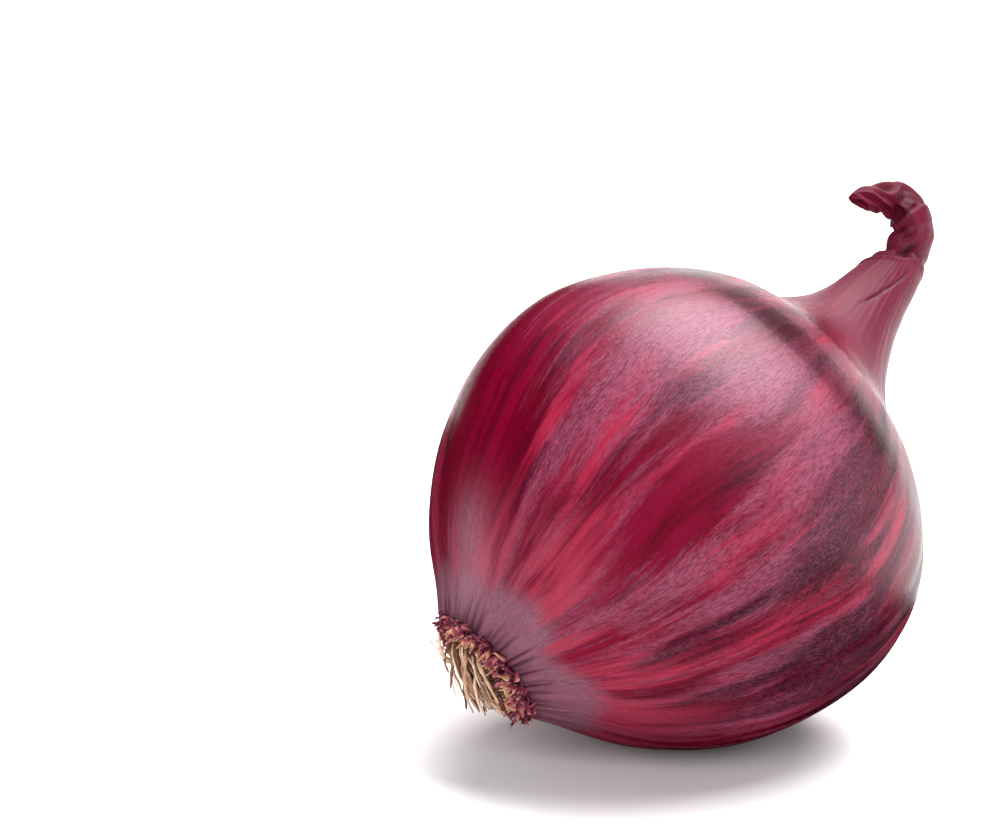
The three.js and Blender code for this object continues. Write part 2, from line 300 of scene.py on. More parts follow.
def makePiece(name, points, faceArrays, material, node, attributes):
    # one mesh object at the origin with smooth faces and its attributes, which hides the CAD node it
    # stands in for; the faces are turned round, because layDown mirrors the onion's own axes
    mesh = bpy.data.meshes.new(name)
    faces = sum((array[:, ::-1].tolist() for array in faceArrays), [])
    mesh.from_pydata(points, [], faces)
    mesh.validate()
    mesh.polygons.foreach_set("use_smooth", np.ones(len(mesh.polygons), bool))
    for key, values in attributes.items():
        kind = "FLOAT_VECTOR" if values.ndim > 1 else "FLOAT"
        store = mesh.attributes.new(key, kind, "POINT")
        flat = values.astype(np.float32).ravel()
        store.data.foreach_set("vector" if kind == "FLOAT_VECTOR" else "value", flat)
    mesh.materials.append(material)
    piece = bpy.data.objects.new(name, mesh)
    bpy.context.scene.collection.objects.link(piece)
    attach(piece, "root")
    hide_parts(node)
    return piece


def hexColour(code):
    # sRGB hex to linear: c / 12.92 below 0.04045, ((c + 0.055) / 1.055)^2.4 above
    values = [int(code[i : i + 2], 16) / 255 for i in (1, 3, 5)]
    return [c / 12.92 if c <= 0.04045 else ((c + 0.055) / 1.055) ** 2.4 for c in values] + [1]


def addNode(tree, kind, inputs=(), output=0, stops=(), **settings):
    # adds one node, sets its options, colour stops and sockets, where a socket as a value makes a
    # link, and gives back one of its outputs
    node = tree.nodes.new(kind)
    for key, value in settings.items():
        setattr(node, key, value)
    for i, (place, colour) in enumerate(stops):
        ramp = node.color_ramp.elements
        stop = ramp[i] if i < len(ramp) else ramp.new(place)
        stop.position = place
        stop.color = colour
    for key, value in inputs.items() if isinstance(inputs, dict) else enumerate(inputs):
        if isinstance(value, bpy.types.NodeSocket):
            tree.links.new(value, node.inputs[key])
        else:
            node.inputs[key].default_value = value
    return node.outputs[output] if node.outputs else None


def newMaterial(name):
    # an empty node tree in a new material
    material = bpy.data.materials.new(name)
    material.use_nodes = True
    material.node_tree.nodes.clear()
    return material, material.node_tree


print("spine and resting point worked out, resting point", rest.round(3))

# Dry outer skin of a cured red onion: a papery leaf, waxy enough to shine, with red juice colour
# showing in streaks through a dusty film of dead fibres that run from root to neck
drySkin = {
    "colours": {
        "crimson": "#5D0019",
        "ruby": "#6D0125",
        "coral": "#9E263F",
        "dustyRose": "#581A32",
        "paleFilm": "#924C66",
        "rosy": "#902A3E",
        # pale wax bloom, also used as a painted sheen where the overhead light falls
        "waxBloomAndSheen": "#9A6E80",
        "deadFibre": "#1E0414",
        "rootFilm": "#58323F",
        "rootGrey": "#866070",
        "neckRose": "#5E1B30",
        "tipRed": "#440C20",
        # painted shade in the creases, neck hollows and the cup round the root plate, and the
        # shoulder band's painted dark reflection
        "crease": "#2A0610",
    },
    # width across the fibres and length along them in mm, then how much fine detail
    "band": (9, 42, 1.0),
    "streak": (2.8, 20, 2.0),
    "fine": (0.9, 11, 2.0),
    "thread": (0.24, 1.3, 3.0),  # real fibres are near 0.1 mm, drawn wider so that they show
    "speck": (0.3, 0.6, 2.0),
    "wanderEvery": 28,  # mm
    "wander": 7.0,  # mm
    "waxRoughness": 0.26,
    "filmRoughness": 0.38,
    "creaseRoughness": 0.25,
    "specular": 0.22,  # below a half, since the wax is thin and broken
    "bumpDepth": 0.12,  # mm
}


def drySkinMaterial():
    # Dry onion leaf: wax gives soft bright reflections on the bare crimson, and the dead film over
    # it looks paler, duller and finely streaked along its fibres
    k = drySkin
    material, tree = newMaterial("dryOnionSkin")
    mask = {
        name: addNode(tree, "ShaderNodeAttribute", output="Fac", attribute_name=name)
        for name in ("place", "shade", "bloomAndPaintedSheen", "pastFilm", "bare", "darkFibreAndShade")
    }
    fibre = addNode(tree, "ShaderNodeAttribute", output="Vector", attribute_name="fibre")

    # slow wander, so that no streak runs dead straight
    slow = {"Vector": fibre, "Scale": 1 / k["wanderEvery"], "Detail": 1.0}
    drift = addNode(tree, "ShaderNodeTexNoise", slow, "Color")
    centred = addNode(tree, "ShaderNodeVectorMath", [drift, (0.5, 0.5, 0.5)], operation="SUBTRACT")
    scaled = {0: centred, "Scale": k["wander"]}
    wander = addNode(tree, "ShaderNodeVectorMath", scaled, operation="SCALE")
    bent = addNode(tree, "ShaderNodeVectorMath", [fibre, wander], operation="ADD")

    def stretched(size, shift, rough=0.55):
        # noise on the bent fibres, divided by its width across them and its length along them
        width, length, detail = size
        parts = [bent, (1 / width, 1 / width, 1 / length), (shift, shift, shift)]
        squeezed = addNode(tree, "ShaderNodeVectorMath", parts, operation="MULTIPLY_ADD")
        inputs = {"Vector": squeezed, "Scale": 1.0, "Detail": detail, "Roughness": rough}
        return addNode(tree, "ShaderNodeTexNoise", inputs, "Fac")

    def streaks(shift, fineShare=0.4):
        # shares of fine streaks, streaks and bands added up, with a mean of a half
        total = -0.2 - fineShare / 2
        for name, share, step in (("fine", fineShare, 13), ("streak", 0.65, 7), ("band", 0.75, 0)):
            parts = [stretched(k[name], shift + step), share, total]
            total = addNode(tree, "ShaderNodeMath", parts, operation="MULTIPLY_ADD")
        return total

    thread = stretched(k["thread"], 5.0, 0.7)
    grain = stretched(k["speck"], 17.0, 0.6)
    redStreaks = streaks(29.0, 0.25)

    # the first times the number plus the second
    sums = {
        "reddened": (mask["bare"], -0.7, redStreaks),
        "covered": (mask["bare"], -1.0, streaks(61.0)),
        # dark fibre patches and painted shade on the lower side, broken up by streaks
        "darkness": (mask["darkFibreAndShade"], 1.0, streaks(97.0, 0.25)),
        "rootEdge": (redStreaks, 5.0, mask["pastFilm"]),
        "ragged": (redStreaks, 0.07, mask["place"]),
        "height": (thread, 0.6, grain),
    }
    for name, parts in sums.items():
        mask[name] = addNode(tree, "ShaderNodeMath", parts, operation="MULTIPLY_ADD")
    frayed = [thread, 0.14, mask["covered"]]
    mask["frayed"] = addNode(tree, "ShaderNodeMath", frayed, operation="MULTIPLY_ADD")

    # smooth steps: what is read, its low and its high, and the mask's value at each
    steps = {
        "rubyShare": (streaks(3.0), 0.4, 0.6, 0.0, 1.0),
        "coralShare": (mask["reddened"], 0.46, 0.72, 0.0, 0.85),
        "film": (mask["frayed"], 0.38, 0.72, 0.0, 1.0),
        "paleShare": (thread, 0.25, 0.78, 0.0, 1.0),
        "specks": (grain, 0.25, 0.72, 0.6, 0.95),
        "darkStreaks": (mask["darkness"], 0.5, 0.76, 0.0, 1.0),
        "darkSpecks": (grain, 0.35, 0.6, 0.4, 0.85),
        "darkThreads": (thread, 0.28, 0.5, 0.4, 0.0),
        "rosyReach": (mask["pastFilm"], 4.0, 26.0, 0.75, 0.0),
        "rosyStreaks": (redStreaks, 0.38, 0.6, 0.1, 1.0),
        "rosyCovered": (mask["bare"], 0.05, 0.25, 1.0, 0.15),
        "pastRoot": (mask["rootEdge"], -0.4, 5.4, 0.2, 1.0),
        "greyShare": (thread, 0.2, 0.8, 0.0, 1.0),
        "juiceShare": (thread, 0.35, 0.75, 0.0, 0.6),
        "onNeck": (mask["ragged"], 0.66, 0.76, 0.0, 1.0),
        "bloomAndSheenThreads": (thread, 0.25, 0.7, 0.4, 1.0),
        "tipShare": (thread, 0.3, 0.7, 0.0, 1.0),
        "onTip": (mask["ragged"], 0.955, 0.985, 0.0, 1.0),
        "shadeThrough": (redStreaks, 0.35, 0.6, 1.0, 0.66),
    }
    smooth = {"interpolation_type": "SMOOTHSTEP"}
    for name, parts in steps.items():
        mask[name] = addNode(tree, "ShaderNodeMapRange", parts, **smooth)

    products = {
        "speckled": ("film", "specks"),
        "dark": ("darkStreaks", "darkSpecks"),
        "rosyFilm": ("rosyReach", "rosyStreaks"),
        "rosyPlaces": ("rosyFilm", "rosyCovered"),
        "bloomAndSheenShare": ("bloomAndSheenThreads", "bloomAndPaintedSheen"),
        "shaded": ("shade", "shadeThrough"),
    }
    for name, pair in products.items():
        parts = [mask[part] for part in pair]
        mask[name] = addNode(tree, "ShaderNodeMath", parts, operation="MULTIPLY")

    # coats of colour in turn: the coat, its mask, what lies under, what the mask lays over it
    coats = (
        ("juice", "rubyShare", "crimson", "ruby"),
        ("juice", "coralShare", "juice", "coral"),
        ("dust", "paleShare", "dustyRose", "paleFilm"),
        ("skin", "speckled", "juice", "dust"),
        ("skin", "dark", "skin", "deadFibre"),
        ("skin", "darkThreads", "skin", "deadFibre"),
        ("skin", "rosyPlaces", "skin", "rosy"),
        ("rootSkin", "greyShare", "rootFilm", "rootGrey"),
        ("skin", "pastRoot", "rootSkin", "skin"),
        ("neckSkin", "juiceShare", "neckRose", "juice"),
        ("skin", "onNeck", "skin", "neckSkin"),
        # painted sheen: the pale wax colour laid on the upper side and a few other patches, partly
        # real bloom
        ("skin", "bloomAndSheenShare", "skin", "waxBloomAndSheen"),
        ("tipSkin", "tipShare", "tipRed", "ruby"),
        ("skin", "onTip", "skin", "tipSkin"),
        # painted shade: the crease colour laid on the cup, creases, neck hollows and the shoulder
        # band
        ("skin", "shaded", "skin", "crease"),
    )
    colour = {name: hexColour(code) for name, code in k["colours"].items()}
    for coat, name, under, over in coats:
        parts = {"Factor": mask[name], "A": colour[under], "B": colour[over]}
        colour[coat] = addNode(tree, "ShaderNodeMix", parts, "Result", data_type="RGBA")

    relief = {"Height": mask["height"], "Strength": 0.45, "Distance": k["bumpDepth"] * mm}
    glossSteps = (mask["speckled"], 0.0, 0.7, k["waxRoughness"], k["filmRoughness"])
    gloss = addNode(tree, "ShaderNodeMapRange", glossSteps, **smooth)
    creaseSteps = (mask["shade"], 0.0, 0.8, gloss, k["creaseRoughness"])
    finish = {
        "Base Color": colour["skin"],
        "Roughness": addNode(tree, "ShaderNodeMapRange", creaseSteps, **smooth),
        "IOR": 1.45,
        "Specular IOR Level": k["specular"],
        "Normal": addNode(tree, "ShaderNodeBump", relief, "Normal"),
    }
    shader = addNode(tree, "ShaderNodeBsdfPrincipled", finish, "BSDF")
    addNode(tree, "ShaderNodeOutputMaterial", {"Surface": shader})
    return material


drySkinFinish = drySkinMaterial()

skinMesh = {
    "round": 400,
    "rootRings": 46,
    "bodyRings": 82,
    "neckRings": 116,
    "rootReach": 14,  # mm of skin beside the root end that take the fine rings
    "neckFrom": 112,  # mm along the skin where the neck's fine rings start
    "creaseLines": 60,
    "creaseLength": (1.5, 6.5),
    "creaseWidth": 0.3,
    "creaseDepth": 0.3,
    "creaseShade": 0.85,
    # the shoulder band's painted dark reflection, laid on as shade
    "bandShade": 0.88,  # at most, on the dark band of the shoulder
    "veinHeight": 0.035,  # mm on the bulb, less as the neck narrows
    "pleatsLeft": 0.06,  # share of the solid's neck pleats that the thin skin shows
}


def apart(angle, degrees):
    # the signed angle from a meridian, between -pi and pi
    return (angle - np.radians(degrees) + np.pi) % (2 * np.pi) - np.pi


def rootCreases(along, radius, angle):
    # each crease is a bell across its own meridian, as deep as its own draw, at most 1, and fades
    # out at its own length
    k = skinMesh
    random = np.random.default_rng(11)
    depth = np.zeros(np.broadcast_shapes(along.shape, angle.shape))
    for i in range(k["creaseLines"]):
        middle = 360 * (i + random.uniform(-0.4, 0.4)) / k["creaseLines"]
        length = random.uniform(*k["creaseLength"])
        width = k["creaseWidth"] * random.uniform(0.7, 1.5)
        fade = 1 - smoothStep(length * 0.3, length, along)
        line = bell(apart(angle, middle) * radius, width * (0.35 + 0.65 * fade)) * fade
        depth = np.maximum(depth, np.minimum(1, line * random.uniform(0.5, 1.4)))
    return depth


neckShape = {
    # the fold across the dry neck: mm along the skin, how far that drops round the neck, and the
    # degrees round it where it is highest
    "fold": (128.6, 3.4, 255),
    "foldLip": 0.3,
    "foldDip": 0.6,
    "foldShade": 0.6,
    "front": 285,  # degrees round the neck, the side where the fold and the mouth are deepest
    # hollows past the fold: degrees round, width in radians, mm past it, length, depth, painted
    # shade
    "hollows": (
        (298, 0.42, 1.6, 1.3, 1.3, 0.9),
        (325, 0.45, 4.4, 1.1, 0.6, 0.55),
        (350, 0.3, 8.2, 0.9, 0.8, 0.85),
    ),
    # the long crease down the front: mm along the skin where it starts, is full, fades and ends
    "split": (110, 116, 124, 127),
    "splitFrom": (115, 309),  # mm along the skin, degrees round
    "splitSlant": 35 / 12.6,  # degrees a mm
    "splitWidth": 0.048,  # radians
    "splitDepth": 0.3,
    "splitShade": 0.45,
    # the open end of the outer leaf, given as the fold is
    "mouth": (137.3, 1.3, 320),
    "mouthDip": 0.8,
    "mouthShade": 0.7,
    "crumple": 0.75,
    "crumpleShade": 0.75,
    "striae": 0.025,
}


def neckDetail(s, angle, radius):
    # a lip and a dip where the dry neck is folded, bell-shaped hollows above it, a long split, an
    # open mouth where the outer leaf ends, and on the tip crumples 1 - 2|w| of a sum of waves w;
    # the fold, hollows, split, mouth and crumples also get painted shade
    k = neckShape
    foldAt, foldDrop, foldTop = k["fold"]
    past = s - foldAt + foldDrop * (1 - np.cos(apart(angle, foldTop)))
    above = past >= -0.1
    inFront = 0.5 + 0.5 * np.cos(apart(angle, k["front"]))
    lip = k["foldLip"] * bell(past + 0.5, 0.6) * (past < 0.05)
    dip = k["foldDip"] * bell(past - 0.9, 0.9) * above * inFront
    pressed, dark = [], [k["foldShade"] * bell(past - 0.5, 0.7) * above * inFront]
    for middle, width, place, length, depth, darkness in k["hollows"]:
        hollow = bell(apart(angle, middle), width) * bell(past - place, length) * above
        pressed.append(depth * hollow)
        dark.append(darkness * hollow)
    start, full, fading, end = k["split"]
    splitPlace, splitDegrees = k["splitFrom"]
    along = smoothStep(start, full, s) * (1 - smoothStep(fading, end, s))
    slanted = splitDegrees - k["splitSlant"] * (s - splitPlace)
    split = bell(apart(angle, slanted), k["splitWidth"]) * along
    mouthAt, mouthDrop, mouthTop = k["mouth"]
    beyond = s - mouthAt + mouthDrop * (1 - np.cos(apart(angle, mouthTop)))
    opened = smoothStep(-0.1, 0.5, beyond) * (1 - smoothStep(2.5, 5.5, beyond)) * inFront
    ridges = 1 - 2 * np.minimum(1, np.abs(waves(angle, s, 21, (1, 6), (5, 14), 8)))
    onTip = smoothStep(136, 141, s)
    crumpled = 0.3 * smoothStep(128, 131, s) + 0.7 * onTip
    striae = 1 - 2 * np.minimum(1, np.abs(waves(angle, s, 8, (9, 30), (60, 200), 5)))
    onNeck = smoothStep(100, 112, s) * (1 - 0.6 * onTip)
    rise = (
        lip
        - dip
        - sum(pressed)
        - k["splitDepth"] * split
        - k["mouthDip"] * opened
        + k["crumple"] * ridges * crumpled * np.minimum(1, radius / 2)
        + k["striae"] * striae * onNeck
    )
    dark.append(k["splitShade"] * split)
    dark.append(k["mouthShade"] * opened)
    dark.append(k["crumpleShade"] * smoothStep(0.1, 0.9, -ridges) * crumpled)
    return rise, np.maximum.reduce(dark)


skinTones = {
    # mm of smooth film round the root end, how far its edge swings, and the degrees where it is
    # widest; then its tongues: mm, degrees round and width in radians
    "filmEdge": (9.3, 1.2, 240),
    "filmTongues": (
        (3.2, 311, 0.22),
        (2.6, 252, 0.26),
        (-2.4, 283, 0.16),
        (2.5, 130, 0.4),
        (2.0, 50, 0.3),
    ),
    # patches: mm along the skin, length, degrees round, width in radians, and how much, of pale
    # wax and painted sheen, of skin left bare by the film, of dark streaks and painted shade, and of
    # the painted dark reflection of the band on the shoulder
    # pale wax bloom, partly a painted sheen: the first patch lies where the overhead highlight falls
    "bloomAndPaintedSheen": (
        (64, 12, 324, 0.7, 0.4),
        (105, 5, 305, 0.5, 0.1),
        (58, 18, 140, 0.8, 0.25),
        (9, 6, 352, 0.3, 0.45),
        (17, 6, 358, 0.2, 0.45),
    ),
    "bare": (
        (43, 15, 304, 0.17, 0.42),
        (96, 6, 300, 0.9, 0.4),
        (45, 26, 8, 0.4, 0.28),
        (24, 12, 4, 0.4, 0.25),
        (52, 20, 336, 0.28, -0.14),
        (58, 18, 276, 0.35, -0.1),
        (52, 22, 70, 0.3, 0.12),
        (40, 20, 165, 0.25, 0.14),
        (48, 26, 222, 0.3, 0.1),
    ),
    # dark fibre patches, partly painted shade where less light reaches, as at the bottom and lower
    # right
    "darkFibreAndShade": (
        (62, 17, 276, 0.4, 0.13),
        (27, 8, 268, 0.2, 0.12),
        (24, 10, 240, 0.3, 0.12),
        (60, 24, 248, 0.6, 0.1),
        (50, 24, 200, 0.6, 0.1),
        (60, 20, 95, 0.6, 0.09),
        (50, 20, 238, 0.35, 0.1),
        (94, 3.5, 300, 0.8, 0.14),
        (46, 12, 246, 0.25, 0.1),
    ),
    # painted dark reflection: a band across the shoulder where the studio's dark gap would reflect
    "shoulderDarkReflection": ((78.9, 4.082, 318, 1.143, 1.35),),
}


def patches(name, s, angle):
    # a sum of patches, each a bell along the skin times a bell round it
    total = 0
    for place, length, middle, width, amount in skinTones[name]:
        total = total + amount * bell(s - place, length) * bell(apart(angle, middle), width)
    return total


def pastRootFilm(s, angle):
    # mm past the edge of the smooth film, which swings with the cosine round the root end and
    # runs on in a few bell-shaped tongues
    edge, swing, widest = skinTones["filmEdge"]
    reach = edge + swing * np.cos(apart(angle, widest))
    for run, middle, width in skinTones["filmTongues"]:
        reach = reach + run * bell(apart(angle, middle), width)
    return s - reach


def skinDetail(s, angle):
    # fine relief on top of the CAD form, in millimetres, and the painted shade of its creases and
    # hollows and of the dark band on the shoulder, which is a painted dark reflection
    k = skinMesh
    ring = ringsAt(s)
    along, radius = ring[:, 0:1], ring[:, 3:4]
    creases = rootCreases(along, radius, angle)
    veins = k["veinHeight"] * waves(angle, along, 5, (18, 60), (60, 160), 9)
    neckRise, neckPaintedShade = neckDetail(s[:, None], angle, radius)
    flattened = (k["pleatsLeft"] - 1) * neckPleats(ring, angle)
    rise = flattened - creases * k["creaseDepth"] + veins * radius / bulbRadius + neckRise
    # painted dark reflection on the shoulder band, capped and added to the painted shade
    band = np.minimum(k["bandShade"], patches("shoulderDarkReflection", s[:, None], angle))
    return rise, np.maximum.reduce([k["creaseShade"] * creases, neckPaintedShade, band])


def skinPiece():
    # the floor and brim of the cup that holds the root plate, then the skin's rings out to the tip
    k = skinMesh
    s = np.concatenate(
        [
            np.linspace(0, k["rootReach"], k["rootRings"], endpoint=False),
            np.linspace(k["rootReach"], k["neckFrom"], k["bodyRings"], endpoint=False),
            np.linspace(k["neckFrom"], lastKnot, k["neckRings"]),
        ]
    )
    angle = 2 * np.pi * np.arange(k["round"]) / k["round"]
    rise, dark = skinDetail(s, angle)
    circle = np.stack([0 * angle, np.cos(angle), np.sin(angle)], -1)
    brim = rootCentre + circle * (plateRadius + onion["seatGap"]) + [-0.1, 0, 0]
    floor = brim + [onion["cupFloor"] + 0.1, 0, 0]
    end = ringsAt(np.array([lastKnot]))[0, :3] + [-0.5, 0.3, 0.2]
    loops = np.concatenate([[floor, brim], skinPoints(s, angle, rise)])
    points, faceArrays = closedForm(loops, rootCentre + [onion["cupFloor"], 0, 0], end)
    places = np.concatenate([[0, 0], s])[:, None]

    def toEnds(values, first, last):
        # a value for each point of the loops, then one for each end point
        return np.append(np.broadcast_to(values, loops.shape[:2]).ravel(), [first, last])

    fibre = [toEnds(bulbRadius * wave(angle), 0, 0) for wave in (np.cos, np.sin)]
    fibre.append(toEnds(places, 0, lastKnot))
    return makePiece(
        "onionSkin",
        layDown(points),
        faceArrays,
        drySkinFinish,
        "bulb",
        {
            "fibre": np.stack(fibre, -1),
            "place": toEnds(places / lastKnot, 0, 1),
            # painted shade: full on the cup's floor and brim round the root plate, then the creases,
            # hollows and shoulder band
            "shade": toEnds(np.concatenate([np.ones((2, angle.size)), dark]), 1, 0),
            "pastFilm": toEnds(pastRootFilm(places, angle), 0, lastKnot),
            "bloomAndPaintedSheen": toEnds(patches("bloomAndPaintedSheen", places, angle), 0, 0),
            "bare": toEnds(patches("bare", places, angle), 0, 0),
            "darkFibreAndShade": toEnds(patches("darkFibreAndShade", places, angle), 0, 0),
        },
    )


onionSkin = skinPiece()
print("skin made,", len(onionSkin.data.polygons), "faces")

# Woody root plate and its dried roots
rootFibre = {
    "dark": "#281412",
    "brown": "#643C30",
    "straw": "#B48C70",
    "pale": "#DEC0A6",
    "grainSize": 0.714,  # mm
    "bumpDepth": 0.2,  # mm
}


def rootFibreMaterial():
    # Dried root: straw-coloured fibre, which looks dull and brittle, browner and darker where it
    # leaves the plate, which is painted shade
    k = rootFibre
    material, tree = newMaterial("driedRootFibre")
    tone = addNode(tree, "ShaderNodeAttribute", output="Fac", attribute_name="tone")
    where = addNode(tree, "ShaderNodeTexCoord", output="Object")
    speckle = {"Vector": where, "Scale": 1 / (k["grainSize"] * mm), "Detail": 3.0}
    grain = addNode(tree, "ShaderNodeTexNoise", speckle, "Fac")
    toned = addNode(tree, "ShaderNodeMath", [grain, 0.35, tone], operation="MULTIPLY_ADD")
    places = {"dark": 0.12, "brown": 0.4, "straw": 0.75, "pale": 1.0}
    stops = [(place, hexColour(k[name])) for name, place in places.items()]
    relief = {"Height": grain, "Strength": 0.5, "Distance": k["bumpDepth"] * mm}
    finish = {
        "Base Color": addNode(tree, "ShaderNodeValToRGB", {"Fac": toned}, "Color", stops),
        "Roughness": 0.8,
        "IOR": 1.4,
        "Normal": addNode(tree, "ShaderNodeBump", relief, "Normal"),
    }
    shader = addNode(tree, "ShaderNodeBsdfPrincipled", finish, "BSDF")
    addNode(tree, "ShaderNodeOutputMaterial", {"Surface": shader})
    return material


rootFibreFinish = rootFibreMaterial()
hangs = np.array([-0.1, -1, -0.3])  # dried roots lie down over the plate's own face

plateShape = {
    "rings": 40,
    "round": 120,
    "rise": 1.6,
    "roughness": 0.35,  # mm
    "gap": 0.2,  # mm between the dome's edge and the plate's own radius
}


def platePiece():
    # a low dome whose height falls as 1 - share^2, broken by waves; its skirt drops into the cup
    k = plateShape
    share = np.linspace(0.03, 1, k["rings"])[:, None]
    angle = 2 * np.pi * np.arange(k["round"]) / k["round"]
    rough = waves(angle, share * 8, 31, (3, 22), (1.2, 4), 12)
    height = -k["rise"] * (1 - share**2) - k["roughness"] * rough * np.minimum(1, 3 * share)
    radius = (plateRadius - k["gap"]) * share * (1 + 0.02 * rough)
    top = rootCentre + np.stack([height, radius * np.cos(angle), radius * np.sin(angle)], -1)
    skirt = top[-1:] + [onion["cupFloor"] - onion["seatGap"], 0, 0]
    loops = np.concatenate([top, skirt])
    points, faceArrays = closedForm(loops, top[0].mean(0), skirt[0].mean(0))
    # the plate's own brown, kept dark as painted shade in the gaps between the roots and darker
    # towards the middle
    tone = 0.02 + 0.12 * rough + 0.1 * share
    return makePiece(
        "rootPlate",
        layDown(points),
        faceArrays,
        rootFibreFinish,
        "root_tuft",
        # the skirt and end points stay dark, as painted shade in the cup
        {"tone": np.append(tone, np.full(k["round"] + 2, 0.1))},
    )


rootPlate = platePiece()

strandShape = {
    "count": 84,
    "length": (3.5, 9.5),
    "radius": (0.14, 0.42),
    "sunk": 0.8,
    "reach": 0.85,  # share of the plate's radius that they grow from
    "thickest": 95,  # degrees round the plate where most roots stand
    "crowding": 1.8,
    "leaves": (-0.7, -0.5, -0.2),  # the way they leave the plate: along, up, across
    "spread": 0.35,
    "droop": (1.5, 4.5),
    "wander": 0.09,
    "flatness": 0.6,
    # single roots that stand off: degrees round the plate, share of its radius, heading (along,
    # up, across), the way they bend to, length and radius
    "strays": (
        (75, 0.75, (-1, 0.1, 0), (0.25, 1, -0.65), 10.0, 0.55),
        (100, 0.9, (-0.6, 0.4, 0.6), (0, 0.6, 0.8), 9.0, 0.17),
        (95, 0.75, (-0.6, 0.4, 0.6), (0, 0.8, 0.5), 6.0, 0.3),
    ),
    "steps": 14,
    "sides": 7,
}


def strandPiece():
    # each strand steps along its heading, which turns towards the ground, or a stray's towards
    # the way that it bends to, and wanders; its radius tapers to the tip and wrinkles on the way
    k = strandShape
    random = np.random.default_rng(43)
    count, steps, sides = k["count"], k["steps"], k["sides"]
    places, shares, headings, strayBends, lengths, radii = zip(*k["strays"])
    first = len(places)
    share = np.sqrt((np.arange(count) + 0.5) / count)
    turn = random.vonmises(math.radians(k["thickest"]), k["crowding"], count)
    turn[:first] = np.radians(places)
    share[:first] = shares
    outward = np.stack([0 * turn, np.cos(turn), np.sin(turn)], -1)
    place = rootCentre + outward * (plateRadius * k["reach"] * share)[:, None]
    place[:, 0] = -1.3 + 1.2 * share
    spread = random.uniform(-k["spread"], k["spread"], (count, 3))
    heading = unit(np.array(k["leaves"]) + spread + outward * (0.3 * share)[:, None])
    lower = 0.5 - 0.5 * np.cos(turn)
    length = random.uniform(*k["length"], count) * (1.1 - 0.5 * lower)
    radius = random.uniform(*k["radius"], count)
    droop = random.uniform(*k["droop"], count)[:, None] / steps
    bends = np.tile(hangs, (count, 1))
    heading[:first] = unit(np.array(headings, float))
    bends[:first] = strayBends
    length[:first] = lengths
    radius[:first] = radii
    place = place - heading * k["sunk"]
    stride = ((length + k["sunk"]) / steps)[:, None]
    centres, ways = [], []
    for _ in range(steps + 1):
        centres.append(place)
        ways.append(heading)
        place = place + heading * stride
        wander = random.normal(0, k["wander"], (count, 3))
        heading = unit(heading + bends * droop + wander)
    centres, ways = np.stack(centres, 1), np.stack(ways, 1)
    side = unit(np.cross(np.array([0.3, 0.2, 1.0]), ways))
    other = np.cross(ways, side)
    along = np.linspace(0, 1, steps + 1)
    wrinkle = 1 + 0.16 * np.sin(along * 23 + random.uniform(0, 6, (count, 1)))
    girth = (radius[:, None] * (1 - 0.6 * along**1.5) * wrinkle)[..., None]
    angle = 2 * np.pi * np.arange(sides) / sides
    points = (
        centres[:, :, None]
        + side[:, :, None] * (girth * np.cos(angle))[..., None]
        + other[:, :, None] * (girth * np.sin(angle) * k["flatness"])[..., None]
    )
    tips = centres[:, -1] + ways[:, -1] * 0.2
    starts = np.arange(count)[:, None] * (steps + 1) * sides
    ends = starts + steps * sides
    tube = gridFaces(steps + 1, sides) + starts[..., None]
    j = np.arange(sides)
    following = (j + 1) % sides
    pole = np.broadcast_to(points.size // 3 + np.arange(count)[:, None], (count, sides))
    tipCaps = np.stack([pole, ends + j, ends + following], -1).reshape(-1, 3)
    footCaps = np.stack([pole + count, starts + following, starts + j], -1).reshape(-1, 3)
    base = random.uniform(0.15, 0.8, (count, 1))
    # painted shade: each root darker near the plate and at its foot
    tone = np.repeat((base * (0.45 + 0.55 * smoothStep(0, 0.45, along))).ravel(), sides)
    return makePiece(
        "driedRoots",
        layDown(np.concatenate([points.reshape(-1, 3), tips, centres[:, 0]])),
        [tube.reshape(-1, 4), tipCaps, footCaps],
        rootFibreFinish,
        "root_tuft",
        {"tone": np.concatenate([tone, base.ravel(), 0.45 * base.ravel()])},
    )


driedRoots = strandPiece()
print("root plate and roots made")

# Torn edges of the skin's layers round the root end
tornSkinColours = {
    "deep": "#2A0C16",
    "plum": "#7C2C42",
    "brick": "#B25A6A",
    "tan": "#B87C5A",
    "straw": "#CCA07C",
    "grainSize": 1.111,  # mm
}


def tornSkinMaterial():
    # Torn edge of dry onion skin: thin leaf, which looks matt and goes from dark plum, painted shade
    # in its folds and at the foot of each scrap, to tan where the tear has frayed it
    k = tornSkinColours
    material, tree = newMaterial("tornOnionSkin")
    tone = addNode(tree, "ShaderNodeAttribute", output="Fac", attribute_name="tone")
    where = addNode(tree, "ShaderNodeTexCoord", output="Object")
    speckle = {"Vector": where, "Scale": 1 / (k["grainSize"] * mm), "Detail": 3.0}
    grain = addNode(tree, "ShaderNodeTexNoise", speckle, "Fac")
    toned = addNode(tree, "ShaderNodeMath", [grain, 0.5, tone], operation="MULTIPLY_ADD")
    places = {"deep": 0.2, "plum": 0.5, "brick": 0.75, "tan": 0.95, "straw": 1.0}
    stops = [(place, hexColour(k[name])) for name, place in places.items()]
    colour = addNode(tree, "ShaderNodeValToRGB", {"Fac": toned}, "Color", stops)
    finish = {"Base Color": colour, "Roughness": 0.6, "IOR": 1.45}
    shader = addNode(tree, "ShaderNodeBsdfPrincipled", finish, "BSDF")
    addNode(tree, "ShaderNodeOutputMaterial", {"Surface": shader})
    return material


tornSkinFinish = tornSkinMaterial()

